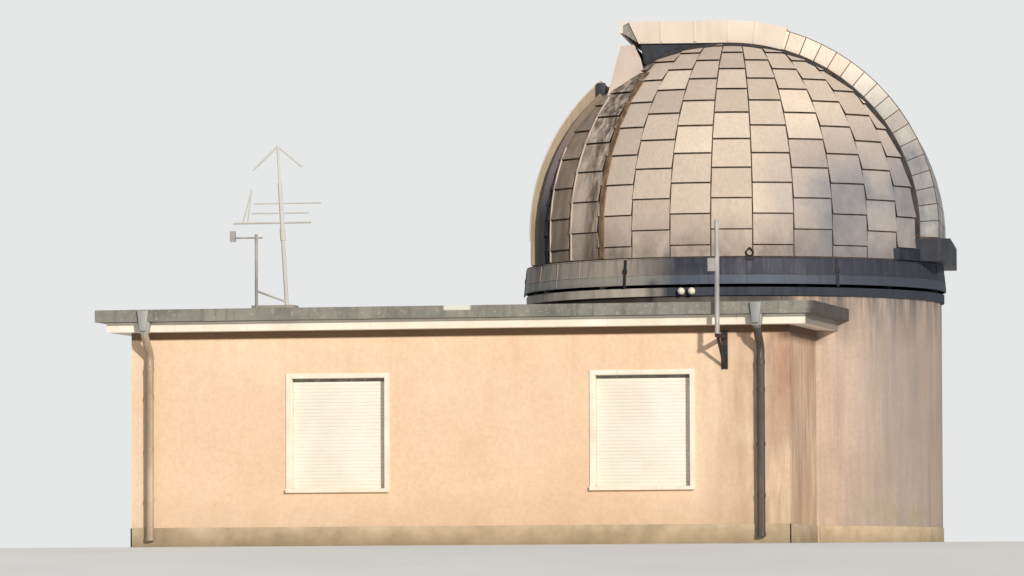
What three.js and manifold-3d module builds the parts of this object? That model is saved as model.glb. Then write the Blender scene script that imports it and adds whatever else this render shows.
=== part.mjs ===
// A small observatory: a flat-roofed annexe, a round drum and a turning dome with an up-and-over hood.
// Millimetres, +Z up. The origin is on the dome's axis, on the underside of the drum's floor.
// The annexe's front faces -Y. The dome's slit faces -X, turned a little towards the front.

import * as THREE from 'three';
import { mergeVertices } from 'three/addons/utils/BufferGeometryUtils.js';
import Module from 'manifold-3d';

const wasm = await Module();
wasm.setup();

// Driving dimensions of the masonry
const seatGap = 0.3;
const wallThickness = 300;
const annexeLeft = -6960;
const annexeRight = 1455;
const annexeFront = -4030;
const annexeBack = 0;
const annexeHeight = 2724;
const drumRadius = 2660;
const drumHeight = 3160;
const drumSegments = 6;
const floorTop = 200;
const drumDoorWidth = 900;
const drumDoorHead = 2250;

// Driving dimensions of the roof and its drainage
const eaves = 253;
const deckThickness = 120;
const coveringThickness = 110;
const gutterDepth = 150;
const gutterWidth = 120;
const gutterSheet = 6;
const gutterTop = 3000;
const pipeRadius = 50;
const pipeStandoff = 75;
const pipeFoot = 120;
const leftPipeX = -6700;
const rightPipeX = 1105;

// Driving dimensions of the windows and the back door
const windowWidth = 1206;
const windowSill = 745;
const windowHead = 2130;
const windowReveal = 110;
const shutterThickness = 40;
const surroundWidth = 60;
const surroundProud = 18;
const sillProud = 60;
const sillThickness = 45;
const frontWindowXs = [-4286, -401];
const leftWindowY = -2015;
const doorWidth = 950;
const doorHead = 2250;
const doorX = -4600;
const doorThickness = 50;
const doorReveal = 80;

// Driving dimensions of the dome. Its own frame has the middle of the sphere at z 0.
const domeTurn = 7.3;
const domeCentre = 4040;
const domeRadius = 2670;
const shellThickness = 60;
const shellFoot = -400;
const shellSides = 64;
const slitHalf = 1100;
const ringInner = 2450;
const ringOuter = 2640;
const ringFoot = -700;
const skirtRadius = 2722;
const skirtTopRadius = 2690;
const skirtFoot = -735;
const curbOuter = 2700;
const curbTop = 3265;
const rollerCount = 12;
const rollerRadius = 40;
const rollerSides = 14;
const rollerLength = 70;
const rollerTrack = 2545;
const rollerGap = 0.5;

// Driving dimensions of the slit's covers, in the slit's own plane: radii, and degrees from the zenith
const cheekOuter = 1150;
const cheekThickness = 30;
const sheetThickness = 30;
const archRadius = 2680;
const archStart = 12;
const housingHalf = 1260;
const housingFace = 2820;
const housingTop = -110;
const housingFoot = -395;
const ledgeHalf = 1650;
const ledgeProud = 75;
const ledgeTop = -250;
const ledgeFoot = -395;
const leafRadius = 2550;
const leafEnd = -39.8;
const hoodHalf = 1195;
const hoodSkin = 33;
const hoodRadius = 2712;
const hoodSheet = 20;
const hoodFront = -25.3;
const hoodRear = 16.2;
const hoodFoot = 2424;
const hoodNoseFoot = 2680;
const lipForward = 110;
const lipDepth = 150;
const lipThickness = 40;
const railInner = 1153;
const railOuter = 1225;
const railStart = -26;
const gutterStripOuter = 1300;
const gutterStripEnd = -42.5;

// The fixed riser in front of the hood leans back from its toe: places in the slit's plane
const riserHalf = 1335;
const riserSheet = 25;
const riserToe = [-1549, 1720];
const riserFrontTop = [-1367, 2386];
const riserRearTop = [-1196, 2398];
const riserHeel = [-1110, 2217];

// Driving dimensions of the masts
const frontMastX = 640;
const frontMastReach = 470;
const frontMastFoot = 2600;
const frontMastTop = 4000;
const frontMastRadius = 30;
// The aerial's pole leans a little; its bars are given as first end, last end and height
const aerialFootX = -5458;
const aerialHeadX = -5588;
const aerialY = -2000;
const aerialHead = 5200;
const aerialShoulder = 4720;
const aerialRadius = 26;
const aerialPlate = [-6050, -5330];
const aerialBars = [[-5894, -5017, 4455], [-5943, -5174, 4330], [-6174, -5149, 4207]];
const aerialArms = [[-5915, 4883], [-5268, 4924]];
const aerialLoop = [[-6048, 4207], [-5931, 4636], [-5985, 4207]];
const vaneX = -5744;
const vaneTop = 4035;

const plaster = { color: 0xe9c197, roughness: 0.92, metalness: 0 };
const drumRender = { color: 0xd9b497, roughness: 0.92, metalness: 0 };
const concrete = { color: 0x9d978d, roughness: 0.95, metalness: 0 };
const whitePaint = { color: 0xf0ece2, roughness: 0.55, metalness: 0 };
const roofing = { color: 0x5d605e, roughness: 0.95, metalness: 0 };
const zinc = { color: 0x8f9694, roughness: 0.5, metalness: 0.7 };
const shingle = { color: 0xc3b5a6, roughness: 0.7, metalness: 0.3 };
const darkLead = { color: 0x4a4f58, roughness: 0.6, metalness: 0.4 };
const paleSheet = { color: 0xe6dac8, roughness: 0.5, metalness: 0.4 };
const steel = { color: 0x55585a, roughness: 0.6, metalness: 0.8 };
const doorPaint = { color: 0x7d756a, roughness: 0.6, metalness: 0 };

const building = new THREE.Group();
const dome = new THREE.Group();
dome.position.set(0, 0, domeCentre);
dome.rotation.z = THREE.MathUtils.degToRad(domeTurn);
building.add(dome);

function addPiece(parent, name, geometry, look) {
  const mesh = new THREE.Mesh(geometry, new THREE.MeshStandardMaterial(look));
  mesh.name = name;
  parent.add(mesh);
  return mesh;
}

// Shared corners only, no flat slivers at the poles, and every face pointing out
function weld(geometry) {
  const bare = geometry.clone();
  bare.deleteAttribute('normal');
  bare.deleteAttribute('uv');
  const merged = mergeVertices(bare, 0.01);
  const points = merged.getAttribute('position');
  const corners = [new THREE.Vector3(), new THREE.Vector3(), new THREE.Vector3()];
  const kept = [];
  let volume = 0;
  for (let face = 0; face < merged.index.count; face += 3) {
    const ids = [0, 1, 2].map((step) => merged.index.getX(face + step));
    if (ids[0] !== ids[1] && ids[1] !== ids[2] && ids[2] !== ids[0]) {
      kept.push(...ids);
      ids.forEach((id, corner) => corners[corner].fromBufferAttribute(points, id));
      volume += corners[0].dot(corners[1].clone().cross(corners[2]));
    }
  }
  if (volume < 0) {
    kept.reverse();
  }
  merged.setIndex(kept);
  return merged;
}

function toSolid(geometry) {
  const welded = weld(geometry);
  return new wasm.Manifold(new wasm.Mesh({
    numProp: 3,
    vertProperties: new Float32Array(welded.getAttribute('position').array),
    triVerts: new Uint32Array(welded.index.array),
  }));
}

function fromSolid(solid) {
  const mesh = solid.getMesh();
  const geometry = new THREE.BufferGeometry();
  geometry.setAttribute('position', new THREE.BufferAttribute(new Float32Array(mesh.vertProperties), 3));
  geometry.setIndex(Array.from(mesh.triVerts));
  return geometry;
}

function joined(...geometries) {
  return fromSolid(geometries.map(toSolid).reduce((sum, solid) => sum.add(solid)));
}

function without(geometry, ...cutters) {
  return fromSolid(cutters.map(toSolid).reduce((rest, cutter) => rest.subtract(cutter), toSolid(geometry)));
}

function common(geometry, other) {
  return fromSolid(toSolid(geometry).intersect(toSolid(other)));
}

// A box between its lowest and highest corner
function block(low, high) {
  const size = high.map((value, axis) => value - low[axis]);
  const box = new THREE.BoxGeometry(...size);
  box.translate(...low.map((value, axis) => value + size[axis] / 2));
  return box;
}

// A solid of revolution about Z from points of radius and height
function turned(profile, sides) {
  const lathe = new THREE.LatheGeometry(profile.map(([r, z]) => new THREE.Vector2(r, z)), sides);
  lathe.rotateX(Math.PI / 2);
  return weld(lathe);
}

function ring(inner, outer, foot, top, sides) {
  return turned([[inner, foot], [outer, foot], [outer, top], [inner, top], [inner, foot]], sides);
}

function cylinder(radius, foot, top, sides) {
  return turned([[0, foot], [radius, foot], [radius, top], [0, top]], sides);
}

// A round post or pipe along a line of points
function rod(points, radius, sides, steps) {
  const section = new THREE.Shape();
  for (let side = 0; side < sides; side += 1) {
    const angle = (side + 0.5) / sides * Math.PI * 2;
    const place = [radius * Math.cos(angle), radius * Math.sin(angle)];
    if (side === 0) {
      section.moveTo(...place);
    } else {
      section.lineTo(...place);
    }
  }
  const corners = points.map((point) => new THREE.Vector3(...point));
  const path = corners.length === 2
    ? new THREE.LineCurve3(...corners)
    : new THREE.CatmullRomCurve3(corners, false, 'centripetal');
  return weld(new THREE.ExtrudeGeometry(section, { steps, bevelEnabled: false, extrudePath: path }));
}

// A plate lying in the XZ plane, from one Y to another
function plateAcross(outline, fromY, toY) {
  const shape = new THREE.Shape(outline.map(([x, z]) => new THREE.Vector2(x, z)));
  const plate = new THREE.ExtrudeGeometry(shape, { depth: toY - fromY, bevelEnabled: false });
  plate.rotateX(Math.PI / 2);
  plate.translate(0, toY, 0);
  return weld(plate);
}

// A point in the slit's plane, by its radius and its angle from the zenith
function onArc(radius, degrees) {
  const angle = THREE.MathUtils.degToRad(degrees);
  return [radius * Math.sin(angle), radius * Math.cos(angle)];
}

function arc(radius, from, to, stepDegrees = 5) {
  const steps = Math.ceil(Math.abs(to - from) / stepDegrees);
  return Array.from({ length: steps + 1 }, (_, step) => onArc(radius, from + (to - from) * step / steps));
}

// The dome's outside as a full body, grown a little, that cuts what sits on it
function shellProfile(radius) {
  return arc(radius, 0, 90, 7.5);
}

const shellCutter = turned(
  [...shellProfile(domeRadius + seatGap), [domeRadius + seatGap, ringFoot], [0, ringFoot]],
  shellSides,
);

// The same beside the slit only, for what passes down into the slit
const besideSlitCutter = without(shellCutter, block(
  [-domeRadius * 2, seatGap - slitHalf, -domeRadius * 2], [domeRadius * 2, slitHalf - seatGap, domeRadius * 2],
));

// Drum: six curved lengths of wall, one of them with the way in from the annexe
function buildDrum() {
  const span = 360 / drumSegments;
  const inner = drumRadius - wallThickness;
  for (let index = 0; index < drumSegments; index += 1) {
    const from = THREE.MathUtils.degToRad(index * span);
    const to = THREE.MathUtils.degToRad((index + 1) * span);
    const shape = new THREE.Shape();
    shape.absarc(0, 0, drumRadius, from, to, false);
    shape.absarc(0, 0, inner, to, from, true);
    let wall = new THREE.ExtrudeGeometry(shape, { depth: drumHeight, bevelEnabled: false, curveSegments: 10 });
    if (index === 4) {
      const doorway = block(
        [-drumDoorWidth / 2, -drumRadius - wallThickness, floorTop],
        [drumDoorWidth / 2, -inner + wallThickness, drumDoorHead],
      );
      wall = without(wall, doorway);
    }
    addPiece(building, `drum_wall_${index + 1}`, weld(wall), drumRender);
  }
  addPiece(building, 'drum_floor', cylinder(inner - seatGap, 0, floorTop, 60), concrete);
}

// What stands against the drum is cut round, just clear of it
const drumCutter = cylinder((drumRadius + seatGap) / Math.cos(Math.PI / 96), -100, drumHeight + 100, 96);

function windowHole(centre, along) {
  const reach = wallThickness * 2;
  return along === 'x'
    ? block([centre - windowWidth / 2, annexeFront - reach, windowSill],
      [centre + windowWidth / 2, annexeFront + reach, windowHead])
    : block([annexeLeft - reach, centre - windowWidth / 2, windowSill],
      [annexeLeft + reach, centre + windowWidth / 2, windowHead]);
}

function buildAnnexeWalls() {
  const innerFront = annexeFront + wallThickness;
  const innerBack = annexeBack - wallThickness;
  const front = block([annexeLeft, annexeFront, 0], [annexeRight, innerFront, annexeHeight]);
  addPiece(building, 'front_wall', without(front, ...frontWindowXs.map((x) => windowHole(x, 'x'))), plaster);
  const left = block([annexeLeft, innerFront, 0], [annexeLeft + wallThickness, innerBack, annexeHeight]);
  addPiece(building, 'left_wall', without(left, windowHole(leftWindowY, 'y')), plaster);
  const back = block([annexeLeft, innerBack, 0], [0, annexeBack, annexeHeight]);
  const doorHole = block([doorX - doorWidth / 2, innerBack - 100, floorTop],
    [doorX + doorWidth / 2, annexeBack + 100, doorHead]);
  addPiece(building, 'back_wall', without(back, drumCutter, doorHole), plaster);
  const right = block([annexeRight - wallThickness, innerFront, 0], [annexeRight, -1500, annexeHeight]);
  addPiece(building, 'right_wall', without(right, drumCutter), plaster);
  const floor = block([annexeLeft + wallThickness, innerFront, 0],
    [annexeRight - wallThickness, innerBack, floorTop]);
  addPiece(building, 'annexe_floor', without(floor, drumCutter), concrete);
}

// A raised white surround with a sill, made for a window centred on x 0 in a wall facing -Y at y 0
function windowSurround() {
  const half = windowWidth / 2;
  const outer = half + surroundWidth;
  const shape = new THREE.Shape([
    new THREE.Vector2(-outer, windowSill - sillThickness),
    new THREE.Vector2(outer, windowSill - sillThickness),
    new THREE.Vector2(outer, windowHead + surroundWidth),
    new THREE.Vector2(-outer, windowHead + surroundWidth),
  ]);
  shape.holes.push(new THREE.Path([
    new THREE.Vector2(-half, windowSill),
    new THREE.Vector2(-half, windowHead),
    new THREE.Vector2(half, windowHead),
    new THREE.Vector2(half, windowSill),
  ]));
  const frame = new THREE.ExtrudeGeometry(shape, { depth: surroundProud, bevelEnabled: false });
  frame.rotateX(Math.PI / 2);
  const sill = block([-outer, -sillProud, windowSill - sillThickness], [outer, 0, windowSill]);
  return joined(frame, sill);
}

function rollerShutter() {
  const half = windowWidth / 2 - seatGap;
  return block([-half, windowReveal, windowSill + seatGap],
    [half, windowReveal + shutterThickness, windowHead - seatGap]);
}

function buildWindows() {
  const places = [
    { name: 'front_window_1', x: frontWindowXs[0], y: annexeFront, turn: 0 },
    { name: 'front_window_2', x: frontWindowXs[1], y: annexeFront, turn: 0 },
    { name: 'left_window', x: annexeLeft, y: leftWindowY, turn: -Math.PI / 2 },
  ];
  places.forEach(({ name, x, y, turn }) => {
    [['surround', windowSurround()], ['roller_shutter', rollerShutter()]].forEach(([part, geometry]) => {
      geometry.rotateZ(turn);
      geometry.translate(x, y, 0);
      addPiece(building, `${name}_${part}`, geometry, whitePaint);
    });
  });
  const half = doorWidth / 2 - seatGap;
  addPiece(building, 'back_door', block(
    [doorX - half, annexeBack - doorReveal - doorThickness, floorTop + seatGap],
    [doorX + half, annexeBack - doorReveal, doorHead - seatGap],
  ), doorPaint);
}

// Roof: a deck that oversails the walls, the covering on it, and gutters hung on its edges
function buildRoof() {
  const left = annexeLeft - eaves;
  const right = annexeRight + eaves;
  const front = annexeFront - eaves;
  const back = annexeBack + eaves;
  const deckTop = annexeHeight + deckThickness;
  const deck = block([left, front, annexeHeight], [right, back, deckTop]);
  addPiece(building, 'roof_deck', without(deck, drumCutter), whitePaint);
  const covering = block([left, front, deckTop], [right, back, deckTop + coveringThickness]);
  addPiece(building, 'roof_covering', without(covering, drumCutter), roofing);

  // Box gutters with mitred corners, from the roof's edge outwards
  const around = (outset, low, high) => block(
    [left - outset, front - outset, low], [right + outset, back + outset, high],
  );
  const gutterFoot = gutterTop - gutterDepth;
  const innerLip = deckTop + coveringThickness - 45;
  const trough = without(
    around(gutterWidth, gutterFoot, gutterTop),
    around(seatGap, gutterFoot - 10, gutterTop + 10),
    around(gutterWidth - gutterSheet, innerLip, gutterTop + 10),
    without(
      around(gutterWidth - gutterSheet, gutterFoot + gutterSheet, gutterTop),
      around(seatGap + gutterSheet, gutterFoot, gutterTop + 10),
    ),
    drumCutter,
  );
  const corners = [[left, front, -1, -1], [right, front, 1, -1], [right, back, 1, 1], [left, back, -1, 1]];
  ['front_gutter', 'right_gutter', 'back_gutter', 'left_gutter'].forEach((name, side) => {
    const [startX, startY, startOutX, startOutY] = corners[side];
    const [endX, endY, endOutX, endOutY] = corners[(side + 1) % 4];
    const along = [Math.sign(endX - startX) * seatGap, Math.sign(endY - startY) * seatGap];
    const reach = gutterWidth + 10;
    const mitred = new THREE.Shape([
      new THREE.Vector2(startX + startOutX * reach + along[0], startY + startOutY * reach + along[1]),
      new THREE.Vector2(endX + endOutX * reach, endY + endOutY * reach),
      new THREE.Vector2(endX, endY),
      new THREE.Vector2(startX + along[0], startY + along[1]),
    ]);
    const sector = new THREE.ExtrudeGeometry(mitred, { depth: gutterDepth + 20, bevelEnabled: false });
    sector.translate(0, 0, gutterFoot - 10);
    addPiece(building, name, common(trough, sector), zinc);
  });
}

// A downpipe: out of the gutter's underside, back to the wall in a swan neck, and down to the plinth
function buildDownpipe(name, x) {
  const outletY = annexeFront - eaves - gutterWidth / 2;
  const pipeY = annexeFront - pipeStandoff;
  const outletZ = gutterTop - gutterDepth - seatGap;
  const neck = rod([
    [x, outletY, outletZ], [x, outletY, outletZ - 160], [x, (outletY + pipeY) / 2, outletZ - 290],
    [x, pipeY, outletZ - 420], [x, pipeY, outletZ - 560],
  ], pipeRadius, 10, 14);
  const fall = rod([[x, pipeY, outletZ - 540], [x, pipeY, pipeFoot]], pipeRadius, 10, 1);
  const straps = [600, 1900].map((z) => block(
    [x - 12, pipeY, z], [x + 12, annexeFront - seatGap, z + 30],
  ));
  addPiece(building, name, joined(neck, fall, ...straps), zinc);
}

// The white mast stands on a braced bracket on the front wall and passes in front of the gutter
function buildFrontMast() {
  const wallY = annexeFront - seatGap;
  const mastY = annexeFront - frontMastReach;
  const plate = block([frontMastX - 40, wallY - 12, frontMastFoot - 420],
    [frontMastX + 40, wallY, frontMastFoot + 60]);
  const arm = block([frontMastX - 25, mastY - 30, frontMastFoot - 40], [frontMastX + 25, wallY, frontMastFoot]);
  const brace = rod([[frontMastX, mastY + 20, frontMastFoot - 20], [frontMastX, wallY - 14, frontMastFoot - 390]],
    20, 6, 1);
  addPiece(building, 'front_mast_bracket', joined(plate, arm, brace), steel);
  const pole = cylinder(frontMastRadius, frontMastFoot + seatGap, frontMastTop, 12);
  pole.translate(frontMastX, mastY, 0);
  const sensor = block([frontMastX - 110, mastY - 35, 3370], [frontMastX, mastY + 35, 3530]);
  addPiece(building, 'front_mast', joined(pole, sensor), whitePaint);
}

// Two roof masts: one carries an aerial's bars, the other a wind vane
function buildRoofMasts() {
  const roofTop = annexeHeight + deckThickness + coveringThickness + seatGap;
  const foot = block([aerialPlate[0], aerialY - 150, roofTop], [aerialPlate[1], aerialY + 150, roofTop + 60]);
  const poleAt = (z) => {
    const share = (z - roofTop) / (aerialHead - roofTop);
    return [aerialFootX + (aerialHeadX - aerialFootX) * share, aerialY, z];
  };
  const pole = rod([poleAt(roofTop + 30), poleAt(aerialShoulder)], aerialRadius, 8, 1);
  const tip = rod([poleAt(aerialShoulder - 30), poleAt(aerialHead)], 14, 8, 1);
  const clamp = rod([poleAt(3980), poleAt(4130)], aerialRadius + 9, 8, 1);
  const bars = aerialBars.map(([first, last, z], index) => rod(
    [[first, aerialY, z], [last, aerialY, z]], index === 2 ? 16 : 10, 6, 1,
  ));
  const arms = aerialArms.map(([x, z]) => rod([poleAt(aerialHead - 10), [x, aerialY, z]], 12, 6, 1));
  const loopTop = aerialLoop[1];
  const loop = [aerialLoop[0], aerialLoop[2]].map(([x, z]) => rod(
    [[x, aerialY, z], [loopTop[0], aerialY, loopTop[1]]], 9, 6, 1,
  ));
  addPiece(building, 'aerial_mast', joined(foot, pole, tip, clamp, ...bars, ...arms, ...loop), whitePaint);
  const vaneFoot = block([vaneX - 120, aerialY - 600, roofTop], [vaneX + 120, aerialY - 360, roofTop + 50]);
  const vaneY = aerialY - 480;
  const vanePole = rod([[vaneX, vaneY, roofTop + 20], [vaneX, vaneY, vaneTop]], 20, 8, 1);
  const vaneArm = rod([[vaneX - 320, vaneY, vaneTop - 45], [vaneX + 80, vaneY, vaneTop - 45]], 12, 6, 1);
  const blade = block([vaneX - 350, vaneY - 5, vaneTop - 95], [vaneX - 270, vaneY + 5, vaneTop + 45]);
  addPiece(building, 'wind_vane_mast', joined(vaneFoot, vanePole, vaneArm, blade), steel);
}

// The curb on the drum carries the rollers that the dome turns on
function buildRollerRing() {
  const curb = ring(ringInner, curbOuter, drumHeight + seatGap, curbTop, 60);
  const rollers = Array.from({ length: rollerCount }, (_, index) => {
    const roller = new THREE.CylinderGeometry(rollerRadius, rollerRadius, rollerLength, rollerSides);
    roller.rotateZ(Math.PI / 2);
    roller.rotateX(Math.PI / rollerSides);
    const apothem = rollerRadius * Math.cos(Math.PI / rollerSides);
    roller.translate(rollerTrack, 0, domeCentre + ringFoot - rollerGap - apothem);
    roller.rotateZ(index / rollerCount * Math.PI * 2);
    return roller;
  });
  addPiece(building, 'roller_ring', joined(curb, ...rollers), darkLead);
}

// Two half shells beside the slit, on a base ring with a skirt hung round it
function buildShell() {
  const inner = domeRadius - shellThickness;
  const shell = turned(
    [...shellProfile(domeRadius), [domeRadius, shellFoot], [inner, shellFoot], ...shellProfile(inner).reverse()],
    shellSides,
  );
  const reach = domeRadius * 2;
  addPiece(dome, 'near_shell', common(shell, block([-reach, -reach, -reach], [reach, -slitHalf, reach])), shingle);
  addPiece(dome, 'far_shell', common(shell, block([-reach, slitHalf, -reach], [reach, reach, reach])), shingle);
  addPiece(dome, 'base_ring', ring(ringInner, ringOuter, ringFoot, shellFoot - seatGap, shellSides), steel);
  const skirtInner = ringOuter + seatGap;
  const skirtTop = shellFoot - seatGap;
  addPiece(dome, 'skirt', turned([
    [skirtInner, skirtTop], [skirtInner, skirtFoot + 90], [skirtRadius - 30, skirtFoot + 40],
    [skirtRadius - 30, skirtFoot], [skirtRadius, skirtFoot], [skirtRadius, skirtFoot + 30],
    [skirtTopRadius, skirtTop], [skirtInner, skirtTop],
  ], shellSides), darkLead);
}

// A raised cover over the slit: a sheet bent one way only, on two upright cheeks
function cover(sheetOutline, cheekOutline, outer, thickness) {
  const sheet = plateAcross(sheetOutline, -outer, outer);
  const near = plateAcross(cheekOutline, -outer, -outer + thickness);
  const far = plateAcross(cheekOutline, outer - thickness, outer);
  return joined(sheet, near, far);
}

const shellAtCheek = Math.sqrt(domeRadius ** 2 - cheekOuter ** 2) - 10;

// The fixed cover behind the zenith, and the housing at its foot
function buildRearArch() {
  const foot = housingTop + seatGap;
  const inner = archRadius - sheetThickness;
  const sheetOutline = [
    ...arc(archRadius, archStart, 90), [archRadius, foot], [inner, foot], ...arc(inner, 90, archStart),
  ];
  const cheekOutline = [
    ...arc(inner + 5, archStart, 90), [inner + 5, foot], [shellAtCheek, foot],
    ...arc(shellAtCheek, 90, archStart),
  ];
  addPiece(dome, 'rear_arch', without(
    cover(sheetOutline, cheekOutline, cheekOuter, cheekThickness), besideSlitCutter,
  ), shingle);

  const box = block([0, -housingHalf, housingFoot], [housingFace, housingHalf, housingTop]);
  const ledgeRing = ring(domeRadius - 60, domeRadius + ledgeProud, ledgeFoot, ledgeTop, shellSides);
  const ledge = common(ledgeRing, block([0, -ledgeHalf, ledgeFoot], [housingFace, ledgeHalf, ledgeTop]));
  addPiece(dome, 'rear_housing', without(joined(box, ledge), shellCutter), darkLead);
}

// Rails that the hood rides on, and the dark strips beside the lower leaf
function buildRails() {
  const fine = 2.5;
  const railTop = hoodFoot * Math.cos(THREE.MathUtils.degToRad(fine / 2)) - rollerGap;
  const railRoot = Math.sqrt(domeRadius ** 2 - railOuter ** 2) - 30;
  const railFoot = housingTop + seatGap;
  const railOutline = [
    ...arc(railTop, railStart, 90, fine), [railTop, railFoot], [railRoot, railFoot],
    ...arc(railRoot, 90, railStart),
  ];
  const stripTop = shellAtCheek + 25;
  const stripRoot = Math.sqrt(domeRadius ** 2 - gutterStripOuter ** 2) - 30;
  const stripFoot = shellFoot + seatGap;
  const stripOutline = [
    [-stripRoot, stripFoot], ...arc(stripRoot, -90, gutterStripEnd), ...arc(stripTop, gutterStripEnd, -90),
    [-stripTop, stripFoot],
  ];
  [['near', -1], ['far', 1]].forEach(([name, side]) => {
    const between = (from, to) => [from * side, to * side].sort((a, b) => a - b);
    addPiece(dome, `${name}_rail`, without(
      plateAcross(railOutline, ...between(railInner, railOuter)), shellCutter,
    ), steel);
    addPiece(dome, `${name}_leaf_strip`, without(
      plateAcross(stripOutline, ...between(railInner, gutterStripOuter)), shellCutter,
    ), darkLead);
  });
}

// The lower leaf closes the slit from the base ring up
function buildLowerLeaf() {
  const inner = leafRadius - sheetThickness;
  const foot = shellFoot + seatGap;
  const sheetOutline = [
    [-leafRadius, foot], ...arc(leafRadius, -90, leafEnd), ...arc(inner, leafEnd, -90), [-inner, foot],
  ];
  const cheekOutline = [
    [-inner - 5, foot], ...arc(inner + 5, -90, leafEnd), ...arc(shellAtCheek, leafEnd, -90),
    [-shellAtCheek, foot],
  ];
  addPiece(dome, 'lower_leaf', without(
    cover(sheetOutline, cheekOutline, cheekOuter, cheekThickness), besideSlitCutter,
  ), shingle);
}

// The riser stands above the leaf's end and closes the space under the hood's straight front
function buildRiser() {
  const inward = ([x, z]) => [x + riserSheet, z];
  const sheetOutline = [
    riserToe, riserFrontTop, riserRearTop, [riserRearTop[0], riserRearTop[1] - riserSheet],
    [riserFrontTop[0] + riserSheet, riserFrontTop[1] - riserSheet], inward(riserToe),
  ];
  const cheekOutline = [riserToe, riserFrontTop, riserRearTop, riserHeel, [-1060, 2000], [-1480, 1650]];
  addPiece(dome, 'slit_riser', without(
    cover(sheetOutline, cheekOutline, riserHalf, riserSheet), besideSlitCutter,
  ), paleSheet);
}

// The hood over the zenith: straight towards the front, bent to the dome's curve behind.
// It turns about the sphere's level middle line, back over the fixed arch.
function buildHood() {
  const hood = new THREE.Group();
  dome.add(hood);
  const inner = hoodRadius - hoodSheet;
  const slope = Math.tan(THREE.MathUtils.degToRad(hoodFront));
  const outerNose = [hoodRadius * slope, hoodRadius];
  const sheetOutline = [
    outerNose, ...arc(hoodRadius, 0, hoodRear), ...arc(inner, hoodRear, 0), [inner * slope, inner],
  ];
  const cheekOutline = [
    [(inner + 5) * slope, inner + 5], ...arc(inner + 5, 0, hoodRear), ...arc(hoodFoot, hoodRear, 0, 2.5),
    onArc(hoodNoseFoot, hoodFront),
  ];
  const lipBack = outerNose[0] + 5;
  const lipFoot = hoodRadius - lipDepth;
  const lipOutline = [
    [lipBack, hoodRadius], [lipBack - lipForward, hoodRadius - 15], [lipBack - lipForward, lipFoot],
    [lipBack - lipForward + lipThickness, lipFoot], [lipBack - lipForward + lipThickness, hoodRadius - 50],
    [lipBack, hoodRadius - hoodSheet],
  ];
  addPiece(hood, 'hood', joined(
    cover(sheetOutline, cheekOutline, hoodHalf, hoodSkin), plateAcross(lipOutline, -hoodHalf, hoodHalf),
  ), paleSheet);
}

buildDrum();
buildAnnexeWalls();
buildWindows();
buildRoof();
buildDownpipe('left_downpipe', leftPipeX);
buildDownpipe('right_downpipe', rightPipeX);
buildFrontMast();
buildRoofMasts();
buildRollerRing();
buildShell();
buildRearArch();
buildRails();
buildLowerLeaf();
buildRiser();
buildHood();

export default building;
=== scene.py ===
import math
import random

import bpy
from mathutils import Matrix, Vector


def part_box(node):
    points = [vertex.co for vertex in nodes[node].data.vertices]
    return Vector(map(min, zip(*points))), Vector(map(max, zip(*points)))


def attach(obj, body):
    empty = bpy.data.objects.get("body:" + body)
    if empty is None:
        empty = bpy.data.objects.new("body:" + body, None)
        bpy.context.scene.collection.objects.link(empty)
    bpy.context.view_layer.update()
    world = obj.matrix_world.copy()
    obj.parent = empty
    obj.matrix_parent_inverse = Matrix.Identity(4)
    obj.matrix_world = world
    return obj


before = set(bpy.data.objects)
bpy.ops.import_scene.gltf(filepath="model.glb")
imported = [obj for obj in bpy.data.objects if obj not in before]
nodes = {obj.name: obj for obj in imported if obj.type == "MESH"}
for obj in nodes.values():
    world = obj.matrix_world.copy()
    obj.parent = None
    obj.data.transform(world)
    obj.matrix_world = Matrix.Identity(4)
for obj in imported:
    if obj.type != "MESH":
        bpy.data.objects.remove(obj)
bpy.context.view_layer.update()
print("stage: frame loaded with", len(nodes), "nodes")

# The dome's own frame: x runs back from the slit, y across it, z up from the middle of the sphere
domeShape = {"turn": 7.3, "centre": 4.04, "radius": 2.67}


def turnedBy(degrees):
    return Matrix.Rotation(math.radians(degrees), 4, "Z")


domeFrame = Matrix.Translation((0, 0, domeShape["centre"])) @ turnedBy(domeShape["turn"])


# Helpers for working in object and edit mode

def selectOnly(piece):
    bpy.ops.object.select_all(action="DESELECT")
    piece.select_set(True)
    bpy.context.view_layer.objects.active = piece


def objectMode():
    bpy.ops.object.mode_set(mode="OBJECT")


def editMode(kind):
    bpy.ops.object.mode_set(mode="EDIT")
    bpy.ops.mesh.select_mode(type=kind)


def editAll(kind):
    editMode(kind)
    bpy.ops.mesh.select_all(action="SELECT")


# Selects the vertices, edges or faces that pass a test, ready to be edited
def pick(piece, kind, test):
    objectMode()
    mesh = piece.data
    for name, items in (("FACE", mesh.polygons), ("EDGE", mesh.edges), ("VERT", mesh.vertices)):
        items.foreach_set("select", [name == kind and bool(test(item)) for item in items])
    editMode(kind)


def thicken(piece, thickness, bevel):
    solid = piece.modifiers.new("thickness", "SOLIDIFY")
    solid.thickness = thickness
    solid.offset = 1.0
    edge = piece.modifiers.new("edge", "BEVEL")
    edge.width = bevel
    edge.segments = 1
    edge.limit_method = "ANGLE"
    selectOnly(piece)
    for modifier in list(piece.modifiers):
        bpy.ops.object.modifier_apply(modifier=modifier.name)


def copyPiece(piece, matrix):
    twin = piece.copy()
    twin.data = piece.data.copy()
    twin.data.transform(matrix)
    bpy.context.collection.objects.link(twin)
    return twin


def joinPieces(pieces):
    bpy.ops.object.select_all(action="DESELECT")
    for piece in pieces:
        piece.select_set(True)
    bpy.context.view_layer.objects.active = pieces[0]
    if len(pieces) > 1:
        bpy.ops.object.join()
    return bpy.context.view_layer.objects.active


# Copies a piece to each place and takes the model itself away
def spread(piece, places):
    copies = [copyPiece(piece, place) for place in places]
    bpy.data.objects.remove(piece)
    return copies


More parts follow.
